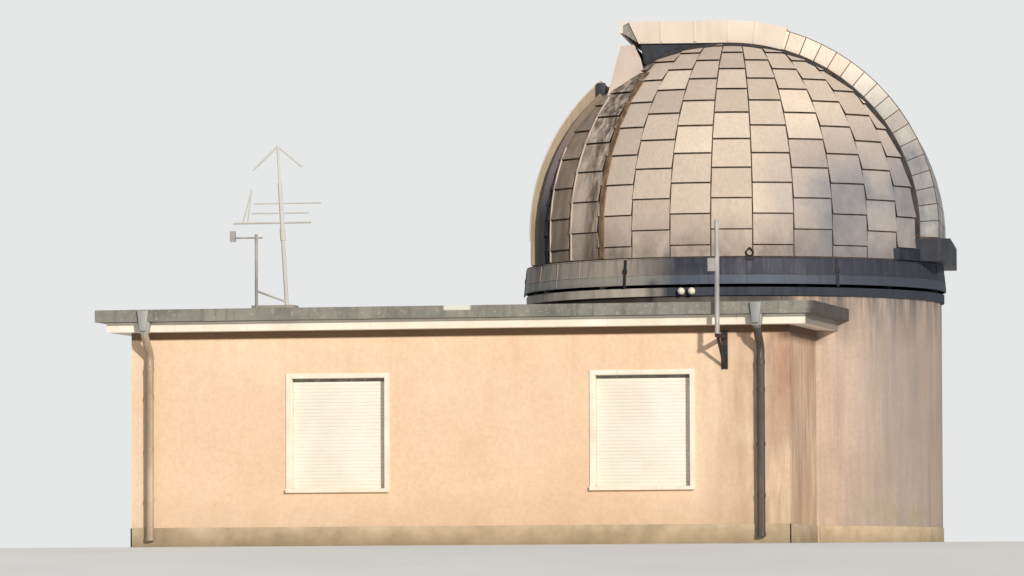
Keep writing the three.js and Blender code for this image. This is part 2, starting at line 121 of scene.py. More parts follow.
# Makes one named piece of several and puts it on its body; smooth is the angle up to which it is shaded round
def finishPiece(pieces, name, material, body, smooth=35, place=Matrix()):
    piece = joinPieces(pieces)
    piece.data.transform(place)
    selectOnly(piece)
    bpy.ops.object.transform_apply(location=True, rotation=True, scale=True)
    bpy.ops.object.shade_smooth_by_angle(angle=math.radians(smooth))
    piece.name = name
    piece.data.name = name
    piece.data.materials.clear()
    piece.data.materials.append(material)
    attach(piece, body)


# Adds a primitive with nothing else selected, and applies its place, turn and size
def startShape(add, **settings):
    bpy.ops.object.select_all(action="DESELECT")
    add(**settings)
    bpy.ops.object.transform_apply(location=True, rotation=True, scale=True)
    return bpy.context.object


# A block between two corners with its edges bevelled
def startBlock(low, high, bevel):
    low, high = Vector(low), Vector(high)
    piece = startShape(bpy.ops.mesh.primitive_cube_add, size=1, location=(low + high) / 2, scale=high - low)
    editAll("EDGE")
    bpy.ops.mesh.bevel(offset=bevel, segments=2, affect="EDGES")
    objectMode()
    return piece


# A bare edge from one point to another, the start of every swept sheet
def startEdge(start, end, cuts=0):
    piece = startShape(bpy.ops.mesh.primitive_plane_add, size=1)
    pick(piece, "VERT", lambda vertex: vertex.co.x > 0)
    bpy.ops.mesh.delete(type="VERT")
    objectMode()
    piece.data.vertices[0].co = start
    piece.data.vertices[1].co = end
    if cuts:
        editAll("EDGE")
        bpy.ops.mesh.subdivide(number_cuts=cuts)
        objectMode()
    return piece


# Sweeps a piece about an axis through the origin by an angle in degrees; spin itself turns clockwise
def sweep(piece, degrees, steps, axis=(0, 1, 0)):
    editAll("VERT")
    bpy.ops.mesh.spin(steps=steps, angle=math.radians(-degrees), center=(0, 0, 0), axis=axis)
    objectMode()


def extrude(step):
    bpy.ops.mesh.extrude_region_move(TRANSFORM_OT_translate={"value": step})


def fixNormals(piece):
    selectOnly(piece)
    editAll("FACE")
    bpy.ops.mesh.remove_doubles(threshold=0.0001)
    bpy.ops.mesh.normals_make_consistent(inside=False)
    objectMode()


# Turns a sheet over where its first face looks away from the given direction
def faceTowards(piece, direction):
    piece.data.update()
    if piece.data.polygons[0].normal.dot(Vector(direction)) < 0:
        piece.data.flip_normals()


# Resizes what is in the edit selection about a point
def taper(factors, towards):
    bpy.ops.transform.resize(value=factors, center_override=towards)
    objectMode()


def giveTones(mesh, tones):
    tone = mesh.attributes.new("tileTone", "FLOAT", "FACE")
    tone.data.foreach_set("value", tones)


# Cuts off a border of half the gap round each tile in the edit selection
def parTiles(gap, together):
    bpy.ops.mesh.edge_split(type="EDGE")
    bpy.ops.mesh.select_mode(type="FACE")
    bpy.ops.mesh.select_all(action="SELECT")
    bpy.ops.mesh.inset(thickness=gap / 2, use_boundary=True, use_individual=not together)
    bpy.ops.mesh.select_all(action="INVERT")
    bpy.ops.mesh.delete(type="FACE")
    objectMode()


def onArc(radius, degrees, across):
    angle = math.radians(degrees)
    return Vector((radius * math.sin(angle), across, radius * math.cos(angle)))


# A swept sheet split into loose tiles, each with a tone of its own
def makeTiles(edge, degrees, steps, towards, seed, gap, thickness, bevel):
    sweep(edge, degrees, steps)
    faceTowards(edge, towards)
    dice = random.Random(seed)
    giveTones(edge.data, [dice.random() for _ in edge.data.polygons])
    editAll("EDGE")
    parTiles(gap, False)
    thicken(edge, thickness, bevel)
    return edge


# Materials: every pattern is laid out in object coordinates, and its sizes are metres

def hexToLinear(code):
    parts = [int(code[i:i + 2], 16) / 255 for i in (1, 3, 5)]
    return [p / 12.92 if p <= 0.04045 else ((p + 0.055) / 1.055) ** 2.4 for p in parts] + [1.0]


# Adds a node; an input is named, or numbered where names repeat, and is linked where it is given an output
def addNode(tree, kind, inputs=None, **settings):
    node = tree.nodes.new("ShaderNode" + kind)
    for name, value in settings.items():
        setattr(node, name, value)
    for socket, given in (inputs or {}).items():
        if isinstance(given, bpy.types.NodeSocket):
            tree.links.new(given, node.inputs[socket])
        else:
            node.inputs[socket].default_value = given
    return node


# A material in the making, from its base tones to its grain
class Finish:
    def __init__(self, name, roughness, size, stops, stretch=1, metallic=0.0):
        self.material = bpy.data.materials.new(name)
        self.material.use_nodes = True
        self.tree = self.material.node_tree
        self.tree.nodes.clear()
        self.shader = addNode(self.tree, "BsdfPrincipled", {"Roughness": roughness, "Metallic": metallic})
        addNode(self.tree, "OutputMaterial", {"Surface": self.shader.outputs["BSDF"]})
        self.place = addNode(self.tree, "TexCoord").outputs["Object"]
        self.colour = self.mottle(size, stops, stretch)

    # Patches of the given width; stretch below 1 draws them out upwards
    def unevenness(self, size, stretch, detail, roughness):
        scale = stretch if isinstance(stretch, tuple) else (1, 1, stretch)
        drawn = addNode(self.tree, "Mapping", {"Scale": scale, "Vector": self.place})
        noise = addNode(self.tree, "TexNoise", {"Scale": 1 / size, "Detail": detail, "Roughness": roughness,
                                                "Vector": drawn.outputs[0]})
        return noise.outputs["Fac"]

    # Tones side by side in patches, or from tile to tile where there is no size
    def mottle(self, size, stops, stretch=1, detail=5.0):
        if size:
            level = self.unevenness(size, stretch, detail, 0.6)
        else:
            level = addNode(self.tree, "Attribute", attribute_name="tileTone").outputs["Fac"]
        ramp = addNode(self.tree, "ValToRGB", {"Fac": level})
        while len(ramp.color_ramp.elements) < len(stops):
            ramp.color_ramp.elements.new(0.5)
        for element, (position, tone) in zip(ramp.color_ramp.elements, stops):
            element.position = position
            element.color = hexToLinear(tone) if isinstance(tone, str) else (tone, tone, tone, 1)
        return ramp.outputs["Color"]

    # A mask of loose patches: least below the low level, 1 above the high one
    def patches(self, size, low, high, stretch=1, least=0.0):
        return self.mottle(size, [(low, least), (high, 1.0)], stretch)

    # A mask from 0 to 1 along one axis, between two places
    def fade(self, axis, start, end):
        parts = addNode(self.tree, "SeparateXYZ", {"Vector": self.place})
        span = {"From Min": start, "From Max": end, "Value": parts.outputs[axis]}
        return addNode(self.tree, "MapRange", span, clamp=True).outputs["Result"]

    # Masks multiplied together; the last may be a plain share
    def both(self, *masks):
        product = masks[0]
        for mask in masks[1:]:
            product = addNode(self.tree, "Math", {0: product, 1: mask}, operation="MULTIPLY").outputs[0]
        return product

    # A mask between two angles from the slit on either side of the dome, in degrees, with soft ends
    def besideSlit(self, low, high, soft=1.0):
        turned = addNode(self.tree, "Mapping", {"Rotation": (0, 0, math.radians(-domeShape["turn"])),
                                                "Vector": self.place})
        parts = addNode(self.tree, "SeparateXYZ", {"Vector": turned.outputs[0]})
        across = addNode(self.tree, "Math", {0: parts.outputs[1]}, operation="ABSOLUTE")
        along = addNode(self.tree, "Math", {0: parts.outputs[0], 1: -1.0}, operation="MULTIPLY")
        angle = addNode(self.tree, "Math", {0: across.outputs[0], 1: along.outputs[0]}, operation="ARCTAN2")
        ends = []
        for start, end in ((low - soft, low + soft), (high + soft, high - soft)):
            span = {"From Min": math.radians(start), "From Max": math.radians(end), "Value": angle.outputs[0]}
            ends.append(addNode(self.tree, "MapRange", span, clamp=True).outputs["Result"])
        return self.both(*ends)

    # Lays a tone or a mottle over the rest where all its masks let it through
    def stain(self, over, share, *masks, blend="MIX"):
        over = hexToLinear(over) if isinstance(over, str) else over
        mask = self.both(*masks, share) if share < 1 else self.both(*masks)
        laid = addNode(self.tree, "Mix", {0: mask, 6: self.colour, 7: over}, data_type="RGBA",
                       blend_type=blend)
        self.colour = laid.outputs[2]

    # Darkens by a fine mottle
    def shade(self, share, size, stops, stretch=1, detail=8.0):
        self.stain(self.mottle(size, stops, stretch, detail), share, blend="MULTIPLY")

    # Gives the shader its colour, and grain as bump: the grain's width, its depth and how it is drawn out
    def done(self, size=None, depth=None, stretch=1, strength=1.0):
        self.tree.links.new(self.colour, self.shader.inputs["Base Color"])
        if size:
            bump = addNode(self.tree, "Bump", {"Strength": strength, "Distance": depth,
                                               "Height": self.unevenness(size, stretch, 6.0, 0.65)})
            self.tree.links.new(bump.outputs["Normal"], self.shader.inputs["Normal"])
        return self.material


# Scratch-float lime plaster, apricot; 12 mm float marks drawn at 20 mm so that they show
finish = Finish("apricotLimePlaster", 0.92, 1.7, [(0.3, "#e6caae"), (0.5, "#ecd3b8"), (0.72, "#f2ddc6")])
finish.shade(0.35, 0.05, [(0.35, "#e9d0b2"), (0.65, "#fff6e8")])
# painted shade of trees towards the right end, mottled and streaked, and rain runs under the eaves
treeShadeRight = finish.fade("X", 0.25, 1.1)
finish.stain("#b08a74", 1, treeShadeRight, finish.patches(0.55, 0.35, 0.7, 0.35))
finish.stain("#9b8078", 0.5, treeShadeRight, finish.patches(0.13, 0.42, 0.66, 0.12))
finish.stain("#cd9a72", 0.3, finish.fade("Z", 1.2, 2.7), finish.patches(0.16, 0.5, 0.75, 0.06))
# painted shadow of the eaves in the 90 mm under the soffit, deepest at the right end
finish.stain("#5c4127", 0.85, finish.fade("Z", 2.615, 2.64))
finish.stain("#5f4a3c", 0.8, finish.fade("Z", 2.5, 2.6), finish.fade("X", 1.2, 1.4))
finish.stain("#c3aa8a", 0.6, finish.fade("Z", 0.75, 0.2), finish.patches(0.3, 0.3, 0.7, 1, 0.25))
annexePlaster = finish.done(0.02, 0.004)

# The same plaster on the drum, pinker, greyed by rain and algae in runs from the curb down
finish = Finish("pinkLimePlaster", 0.93, 1.1, [(0.3, "#bfa797"), (0.5, "#ccb5a3"), (0.75, "#d8c4b2")])
finish.shade(0.35, 0.05, [(0.35, "#dcc9b8"), (0.65, "#fff6ee")])
finish.stain("#8d8074", 0.45, finish.patches(0.12, 0.42, 0.68, 0.05))
# painted shade of trees, greyer towards the right side
finish.stain("#8f8a88", 0.7, finish.fade("X", 1.4, 2.3), finish.patches(0.5, 0.3, 0.65, 0.2, 0.5))
finish.stain("#696563", 1, finish.fade("Z", 2.5, 3.2), finish.patches(0.2, 0.4, 0.6, 0.12))
# painted shadow under the roof's end, and painted shade behind the roof, darkest at the left
finish.stain("#5f4a3c", 0.8, finish.fade("Z", 2.52, 2.62), finish.fade("Z", 2.8, 2.76),
             finish.fade("X", 1.6, 1.45))
shadeBehindRoof = finish.both(finish.fade("Z", 2.98, 3.06), finish.fade("X", 1.3, 0.9))
finish.stain("#524e4b", 0.85, shadeBehindRoof)
finish.stain("#33291f", 0.9, shadeBehindRoof, finish.fade("X", -0.5, -0.8))
finish.stain("#8f8a63", 0.6, finish.fade("Z", 1.6, 0.2), finish.patches(0.5, 0.45, 0.75))
drumPlaster = finish.done(0.02, 0.004)

# Cement render of the plinth, float-finished and splashed with soil
finish = Finish("cementRender", 0.95, 0.35, [(0.3, "#a8977c"), (0.55, "#c6b296"), (0.8, "#d8c7ac")])
finish.stain("#77694f", 0.6, finish.fade("Z", 0.25, 0.0))
plinthRender = finish.done(0.012, 0.003)

# Oil paint on boards and window surrounds: slightly yellowed white with brush marks
finish = Finish("oilPaintWhite", 0.45, 0.4, [(0.3, "#e9decb"), (0.6, "#f7efe0"), (0.85, "#fdf8ee")])
finish.stain("#a89a83", 0.35, finish.patches(0.06, 0.6, 0.8, 0.2))
# the end board at the drum is painted grey-brown as shade of trees
finish.stain("#6b6259", 0.8, finish.fade("X", 1.69, 1.705), finish.fade("Z", 2.6, 2.7))
whitePaint = finish.done(0.004, 0.0006, (0.15, 0.15, 1))

# Extruded PVC shutter slats, white, chalking a little, with dust on the ledges
finish = Finish("extrudedPvcWhite", 0.38, 0.5, [(0.3, "#ece3d6"), (0.6, "#f4ede2"), (0.85, "#faf5ec")])
finish.stain("#cfc3b0", 0.12, finish.patches(0.03, 0.55, 0.75, (0.25, 0.25, 1)))
shutterPvc = finish.done(0.003, 0.0002)

# Mineral-surfaced roofing felt: 3 mm slate granules, drawn at 8 mm, with lichen and leaf litter
finish = Finish("mineralRoofFelt", 0.95, 0.6, [(0.3, "#54554f"), (0.5, "#6c6b64"), (0.75, "#86837a")])
finish.shade(0.6, 0.008, [(0.35, "#77756e"), (0.65, "#ffffff")], detail=3.0)
finish.stain("#a8a68e", 0.55, finish.patches(0.09, 0.6, 0.68))
finish.stain("#6a6a3c", 0.5, finish.patches(0.35, 0.58, 0.72))
roofFelt = finish.done(0.008, 0.004)

# Rolled zinc left out for decades: pale grey patina with lichen, as on the gutters
finish = Finish("weatheredZincWithPaintedShade", 0.72, 0.5, [(0.25, "#6f6e69"), (0.5, "#8f8d85"), (0.8, "#a8a49a")],
                metallic=0.35)
finish.stain("#c9c2b0", 0.5, finish.patches(0.05, 0.57, 0.66))
finish.stain("#565349", 0.5, finish.patches(0.1, 0.5, 0.7, 0.1))
# painted shade of trees on the right gutter's end
finish.stain("#423c38", 0.75, finish.fade("X", 1.72, 1.8))
# pale sealing tape over a split in the front gutter, 340 mm long
finish.stain("#ecebe0", 0.9, finish.fade("X", -2.85, -2.82), finish.fade("X", -2.48, -2.51),
             finish.fade("Z", 2.935, 2.95), finish.fade("Y", -4.3, -4.35))
zincPatinaAndShade = finish.done(0.02, 0.002)

# Downpipe zinc with brown paint, worn through on the left pipe, and darker grey on the right one as painted
# shade of trees
finish = Finish("paintedZincPipe", 0.6, 0.25, [(0.3, "#8d7e6a"), (0.55, "#af9e8a"), (0.8, "#c9bca9")],
                0.3, 0.3)
finish.stain(finish.mottle(0.2, [(0.3, "#47403c"), (0.6, "#5e5552"), (0.8, "#766e6a")], 0.3), 1,
             finish.fade("X", -3.0, -2.0))
# the rainwater heads never had paint
finish.stain("#a9adac", 0.8, finish.fade("Z", 2.66, 2.72))
pipeZinc = finish.done(0.006, 0.0008)

# Cement-fibre shingles, pale and pinkish; each has its own tone, stained brown beside the slit
finish = Finish("fibreCementShingle", 0.8, None, [(0.0, "#d0c0b2"), (0.93, "#e6d6c6"), (1.0, "#fbebd8")])
finish.shade(0.45, 0.03, [(0.3, "#ddd0c3"), (0.65, "#ffffff")], 0.4)
finish.stain("#b3a08f", 0.22, finish.patches(0.35, 0.35, 0.7, 0.5))
# painted shade of trees, grey, low on the right, and soot splashed up from the skirt
finish.stain("#6e7481", 0.85, finish.fade("X", 0.7, 1.6), finish.fade("Z", 5.6, 4.6),
             finish.patches(0.6, 0.2, 0.6, 1, 0.5))
finish.stain("#716a67", 0.8, finish.fade("Z", 4.25, 3.7), finish.patches(0.25, 0.35, 0.65, 0.7, 0.3))
# tan moss in the column beside the slit, and dark soot down the next one, in runs 80 to 160 mm wide
finish.stain("#816d59", 0.85, finish.besideSlit(-20, 42.4), finish.patches(0.16, 0.3, 0.62, 0.12, 0.6))
deepRuns = finish.patches(0.08, 0.36, 0.6, 0.1, 0.1)
finish.stain("#4c4135", 0.9, finish.besideSlit(42.4, 53.7), finish.fade("Z", 4.2, 5.4), deepRuns)
finish.stain("#52402e", 0.8, finish.besideSlit(48.5, 53.7, 2.0), deepRuns)
# the sliver of shingle between the leaf's strip and the first batten is as dark as the strip, low down
finish.stain("#3b343e", 0.85, finish.besideSlit(-20, 32.3, 0.5), finish.fade("Z", 5.3, 4.6))
shingleMaterial = finish.done(0.015, 0.0015)

# Tiles of the arch: the same cement fibre, a little whiter on top, and blue-grey low on the cheeks as painted
# shade of trees
finish = Finish("fibreCementArchTile", 0.8, None, [(0.0, "#f0e1d1"), (1.0, "#fffaee")])
finish.shade(0.45, 0.03, [(0.3, "#ddd3ca"), (0.65, "#ffffff")], 0.4)
finish.stain("#68707c", 0.92, finish.fade("Z", 6.15, 5.1), finish.patches(0.3, 0.3, 0.6, 0.6, 0.6))
archTile = finish.done(0.015, 0.0015)

# Painted sheet of the leaf: tan paint gone chalky, brown runs 40 mm wide, each panel with its own tone
finish = Finish("chalkedTanPaintOnSheet", 0.75, None, [(0.0, "#b3a189"), (1.0, "#c6b69d")])
finish.stain("#94836d", 0.4, finish.patches(0.4, 0.35, 0.7, 0.5))
finish.stain("#6f5d4a", 0.45, finish.patches(0.04, 0.5, 0.68, 0.06))
leafSheet = finish.done(0.02, 0.001)

# Flat steel batten, its cream paint gone to rust in 60 mm patches
finish = Finish("rustedFlatSteel", 0.75, 0.06, [(0.3, "#5d4937"), (0.5, "#846a50"), (0.7, "#a98c6d")],
                0.35, 0.25)
finish.stain("#3d2a1b", 0.5, finish.patches(0.03, 0.5, 0.7, 0.08))
rustyBatten = finish.done(0.008, 0.001)

# Bitumen-coated sheet beside the leaf, near black with an indigo cast and pale scuffs, browner at its head
finish = Finish("bitumenCoatedSheet", 0.7, 0.2, [(0.3, "#26232d"), (0.55, "#35313d"), (0.8, "#49444e")], 0.4)
finish.stain("#17141a", 0.7, finish.fade("Z", 4.5, 4.2))
finish.stain("#8b8079", 0.3, finish.patches(0.03, 0.6, 0.72, 0.08))
finish.stain("#796c74", 0.75, finish.fade("Z", 4.3, 4.8))
finish.stain("#8b7863", 0.8, finish.fade("Z", 4.9, 5.5))
bitumenStrip = finish.done(0.01, 0.001)

# Tarred boards behind the shingles, seen only as the dark of the joints and from inside
finish = Finish("tarredBoards", 0.9, 0.12, [(0.35, "#453c34"), (0.65, "#6b5f54")], 0.2)
underlay = finish.done(0.02, 0.003)


# Sheet steel with cream alkyd paint, a little dull, dirt gathered in runs
def makeCreamSheet(name, tones):
    finish = Finish(name, 0.6, 0.7, list(zip((0.3, 0.55, 0.8), tones)))
    finish.stain("#b3a293", 0.25, finish.patches(0.14, 0.5, 0.7, 0.15))
    return finish.done(0.25, 0.006, strength=0.6)


creamSheet = makeCreamSheet("creamAlkydOnSteel", ("#d6c7b8", "#e1d3c4", "#ebdfd1"))
# a darker copy of the cream: painted shade on the slit riser, also used on the narrow battens
darkerCreamSheet = makeCreamSheet("darkerCreamAlkydOnSteel", ("#bfaea2", "#cfbfb3", "#dccfc3"))

# Lead sheet of the skirt with pale rain runs, bluer below the lower bead and browner towards the slit
finish = Finish("streakedLeadSheet", 0.65, 0.4, [(0.3, "#2d303d"), (0.55, "#393c49"), (0.8, "#494c5a")],
                metallic=0.15)
finish.stain("#716f77", 0.45, finish.patches(0.07, 0.5, 0.72, 0.07))
belowBead = finish.fade("Z", 3.43, 3.42)
finish.stain("#5c6576", 0.75, belowBead)
# painted shade of trees, darker towards the right
finish.stain("#2d313e", 0.6, finish.fade("X", 0.9, 1.8))
nearSlit = finish.besideSlit(-20, 70, 8)
finish.stain("#c0b3a7", 1, nearSlit, finish.patches(0.09, 0.3, 0.6, 0.1, 0.55))
finish.stain("#a3a89e", 0.55, nearSlit, belowBead)
skirtLead = finish.done(0.05, 0.003, 0.3)

# Cement curb on top of the drum, dark blue-grey as painted shade of trees, darker still to the right, with a
# few dark runs
finish = Finish("cementCurbWithPaintedShade", 0.9, 0.25, [(0.3, "#343945"), (0.55, "#424853"), (0.8, "#545965")], 0.5)
finish.stain("#262932", 0.6, finish.patches(0.08, 0.5, 0.66, 0.1))
finish.stain("#222835", 0.6, finish.fade("X", 0.5, 1.8))
# its own pale cement colour at the left, outside the painted shade
finish.stain("#cfc5b6", 1, finish.fade("X", -0.35, -0.6), finish.patches(0.15, 0.3, 0.6, 0.3, 0.7))
curbCement = finish.done(0.015, 0.002)

# Wrought steel under flaking dark paint, rust where it has gone
finish = Finish("paintedMildSteel", 0.65, 0.2, [(0.35, "#2b2b2d"), (0.6, "#3f3f41"), (0.85, "#55524e")],
                metallic=0.55)
finish.stain("#6b4630", 0.75, finish.patches(0.06, 0.55, 0.66))
darkIron = finish.done(0.006, 0.001)

# Dark green-grey machine paint on the housing, made darker as painted shade of trees; the slit's dark plates
# and blocks use it too
finish = Finish("greenGreyPaintAndPaintedShade", 0.55, 0.3, [(0.3, "#1c202a"), (0.6, "#2b2f39"), (0.85, "#3b414d")],
                metallic=0.2)
finish.stain("#555a5f", 0.3, finish.patches(0.08, 0.5, 0.7, 0.1))
darkPaintAndShade = finish.done(0.01, 0.001)

# Galvanised tube under thin white paint, grey where it has chalked
finish = Finish("chalkedPaintOnTube", 0.5, 0.12, [(0.3, "#8a8784"), (0.55, "#aca9a6"), (0.8, "#cac6c0")],
                0.3, 0.1)
# the aerial keeps more of its paint than the other masts
finish.stain("#f2eee6", 0.6, finish.fade("X", -3.0, -3.5), finish.fade("Y", -2.4, -2.2))
mastPaint = finish.done(0.01, 0.0006)

# Planed larch with grey-brown stain; 6 mm year rings run up the boards
finish = Finish("stainedLarch", 0.7, 0.05, [(0.3, "#574a3c"), (0.5, "#75685a"), (0.7, "#8d8172")], 0.05)
doorLarch = finish.done(0.006, 0.0015, 0.04)

# Trowelled concrete of the floors and the ballast
finish = Finish("trowelledConcrete", 0.9, 0.5, [(0.3, "#88837a"), (0.6, "#a19b90"), (0.85, "#b5afa3")])
concrete = finish.done(0.01, 0.001)

# Pale river gravel left on the felt
finish = Finish("riverGravel", 0.85, 0.06, [(0.3, "#8b867b"), (0.5, "#b3ada0"), (0.7, "#dcd7cb")])
gravel = finish.done(0.006, 0.001)

windows = ("front_window_1", "front_window_2", "left_window")
nodeFinish = {
    underlay: "near_shell far_shell rear_arch", skirtLead: "skirt", darkPaintAndShade: "rear_housing",
    roofFelt: "roof_covering",
    darkIron: "base_ring near_rail far_rail front_mast_bracket",
    bitumenStrip: "near_leaf_strip far_leaf_strip",
    leafSheet: "lower_leaf", darkerCreamSheet: "slit_riser", creamSheet: "hood", curbCement: "roller_ring",
    drumPlaster: " ".join(f"drum_wall_{i}" for i in range(1, 7)), concrete: "drum_floor annexe_floor",
    annexePlaster: "front_wall left_wall back_wall right_wall", doorLarch: "back_door",
    whitePaint: "roof_deck " + " ".join(f"{window}_surround" for window in windows),
    shutterPvc: " ".join(f"{window}_roller_shutter" for window in windows),
    zincPatinaAndShade: "front_gutter right_gutter back_gutter left_gutter",
    pipeZinc: "left_downpipe right_downpipe",
    mastPaint: "front_mast aerial_mast wind_vane_mast",
}
for material, names in nodeFinish.items():
    for name in names.split():
        nodes[name].data.materials.clear()
        nodes[name].data.materials.append(material)
print("stage: materials on the frame")

# Dome shingles in staggered columns, a little proud of the shell and lapped at their lower edges.
# Angles are in degrees; a row is as high on the upright foot as on the sphere.
shingles = {"columns": 32, "rings": 42, "turn": -1.225, "firstEdge": -74.35, "firstRow": -1.0,
            "halfRow": 4.22, "lift": 0.004, "foot": 3.646, "lap": 0.021, "footLap": 0.006, "gap": 0.015,
            "thickness": 0.007, "bevel": 0.0015, "clearAcross": 1.236, "seed": 11}


# The column and row of the shingle that a face is part of
def shingleTag(centre):
    pitch = 360 / shingles["columns"]
    column = math.floor((math.degrees(math.atan2(centre.y, centre.x)) - shingles["firstEdge"]) / pitch)
    column %= shingles["columns"]
    above = centre.z - domeShape["centre"]
    across = math.hypot(centre.x, centre.y) if above > 0 else domeShape["radius"]
    height = math.degrees(math.atan2(above, across) if above > 0 else above / across)
    step = math.floor((height - shingles["firstRow"]) / shingles["halfRow"])
    return column, (step + 1 - column % 2) // 2


# Half a sphere with its rings moved to where the rows meet, carried down over the shell's upright foot
def makeDomeSheet(middle):
    radius = domeShape["radius"] + shingles["lift"]
    piece = startShape(bpy.ops.mesh.primitive_uv_sphere_add, segments=2 * shingles["columns"],
                       ring_count=shingles["rings"], radius=radius, location=middle,
                       rotation=(0, 0, math.radians(shingles["turn"])))
    pick(piece, "FACE", lambda face: face.center.z < domeShape["centre"])
    bpy.ops.mesh.delete(type="FACE")
    objectMode()
    for vertex in piece.data.vertices:
        spot = vertex.co - middle
        level = math.hypot(spot.x, spot.y)
        if level < 0.01:
            continue
        ring = math.degrees(math.atan2(spot.z, level)) / (180 / shingles["rings"])
        height = math.radians(ring * shingles["halfRow"] + shingles["firstRow"])
        newLevel = radius * math.cos(max(height, 0))
        newHeight = radius * (math.sin(height) if height > 0 else height)
        vertex.co = middle + Vector((spot.x / level * newLevel, spot.y / level * newLevel, newHeight))
    stepDown = math.radians(shingles["halfRow"]) * radius
    lowest = domeShape["centre"] + math.radians(shingles["firstRow"]) * radius
    for drop in (stepDown, lowest - stepDown - shingles["foot"]):
        bottom = min(vertex.co.z for vertex in piece.data.vertices)
        pick(piece, "VERT", lambda vertex: vertex.co.z < bottom + 0.001)
        extrude((0, 0, -drop))
        objectMode()
    fixNormals(piece)
    return piece


def buildShingles():
    middle = Vector((0, 0, domeShape["centre"]))
    piece = makeDomeSheet(middle)
    mesh = piece.data
    sides = {}
    for face in mesh.polygons:
        for key in face.edge_keys:
            sides.setdefault(key, set()).add(shingleTag(face.center))
    pick(piece, "EDGE", lambda edge: len(sides[edge.key]) > 1)
    parTiles(shingles["gap"], True)
    # the lower edge of each shingle stands off the row below
    tags = [shingleTag(face.center) for face in mesh.polygons]
    bottoms = {}
    for face, tag in zip(mesh.polygons, tags):
        for index in face.vertices:
            bottoms[tag] = min(bottoms.get(tag, 99), mesh.vertices[index].co.z)
    raised = set()
    for face, tag in zip(mesh.polygons, tags):
        raised.update(i for i in face.vertices if mesh.vertices[i].co.z < bottoms[tag] + 0.004)
    for index in raised:
        spot = mesh.vertices[index].co
        outward = spot - middle if spot.z > middle.z else Vector((spot.x, spot.y, 0))
        lap = shingles["lap"] if spot.z > shingles["foot"] + 0.03 else shingles["footLap"]
        mesh.vertices[index].co += outward.normalized() * lap
    dice = random.Random(shingles["seed"])
    tones = {tag: dice.random() for tag in sorted(set(tags))}
    giveTones(mesh, [tones[tag] for tag in tags])
    across = domeFrame.to_3x3() @ Vector((0, 1, 0))
    for half, name, side in zip(spread(piece, [Matrix()] * 2), ("nearShingles", "farShingles"), (-1, 1)):
        selectOnly(half)
        editAll("FACE")
        bpy.ops.mesh.bisect(plane_co=across * side * shingles["clearAcross"], plane_no=across * side,
                            clear_inner=True)
        objectMode()
        thicken(half, shingles["thickness"], shingles["bevel"])
        finishPiece([half], name, shingleMaterial, "dome")


buildShingles()

# Battens over joints on both sides of the slit: two narrow pale ones and a broad rusty one; in degrees
battens = {"broad": 54.9, "broadWidth": 0.075, "narrow": (32.6, 42.9), "narrowWidth": 0.02, "slitAt": 187.3,
           "low": -8.2, "highBroad": 49.0, "highNarrow": (24.0, 40.0), "stepDegrees": 4, "proud": 0.03,
           "under": 0.012, "bevel": 0.003}


def makeBatten(width, angle, high):
    radius = domeShape["radius"]
    under = radius + battens["under"]
    face = startEdge((under, -width / 2, 0), (under, width / 2, 0))
    sweep(face, -high, int(high / battens["stepDegrees"]))
    pick(face, "VERT", lambda vertex: vertex.co.z < 0.001)
    extrude((0, 0, math.radians(battens["low"]) * radius))
    objectMode()
    fixNormals(face)
    faceTowards(face, (1, 0, 0))
    thicken(face, battens["proud"] - battens["under"], battens["bevel"])
    face.data.transform(Matrix.Translation((0, 0, domeShape["centre"])) @ turnedBy(angle))
    return face


def buildBattens():
    broad, narrow = [], []
    for side in (-1, 1):
        broad.append(makeBatten(battens["broadWidth"], battens["slitAt"] - side * battens["broad"],
                                battens["highBroad"]))
        for offset, high in zip(battens["narrow"], battens["highNarrow"]):
            narrow.append(makeBatten(battens["narrowWidth"], battens["slitAt"] - side * offset, high))
    finishPiece(broad, "broadBattens", rustyBatten, "dome")
    finishPiece(narrow, "narrowBattens", darkerCreamSheet, "dome")


buildBattens()
print("stage: shingles and battens")

# Narrow tiles on the fixed arch behind the zenith, on both cheeks and over the top
archTiles = {"start": 12.5, "end": 92.0, "count": 17, "across": 1.1503, "foot": 2.432, "top": 2.676,
             "sheet": 2.6803, "rows": 6, "gap": 0.011, "thickness": 0.0045, "bevel": 0.0012,
             "sheetThickness": 0.0035, "sheetBevel": 0.001, "cheekSeed": 5, "sheetSeed": 9}


def buildArchTiles():
    settings = archTiles
    start, across, count = settings["start"], settings["across"], settings["count"]
    degrees = settings["end"] - start
    pieces = []
    for side in (-1, 1):
        cheek = startEdge(onArc(settings["foot"], start, side * across),
                          onArc(settings["top"], start, side * across))
        pieces.append(makeTiles(cheek, degrees, count, (0, side, 0), settings["cheekSeed"] + side,
                                settings["gap"], settings["thickness"], settings["bevel"]))
    top = startEdge(onArc(settings["sheet"], start, -across), onArc(settings["sheet"], start, across),
                    settings["rows"] - 1)
    pieces.append(makeTiles(top, degrees, count, (0, 0, 1), settings["sheetSeed"], settings["gap"],
                            settings["sheetThickness"], settings["sheetBevel"]))
    finishPiece(pieces, "archTiles", archTile, "dome", place=domeFrame)


# Panels on the lower leaf, with a rolled bead on each edge
leafPanels = {"start": -92.0, "end": -40.5, "steps": 12, "across": 1.148, "sheet": 2.5503, "rows": 4,
              "gap": 0.009, "thickness": 0.004, "bevel": 0.001, "seed": 21, "beadRadius": 0.011,
              "beadAt": 2.553, "beadAcross": 1.139, "beadSteps": 26}


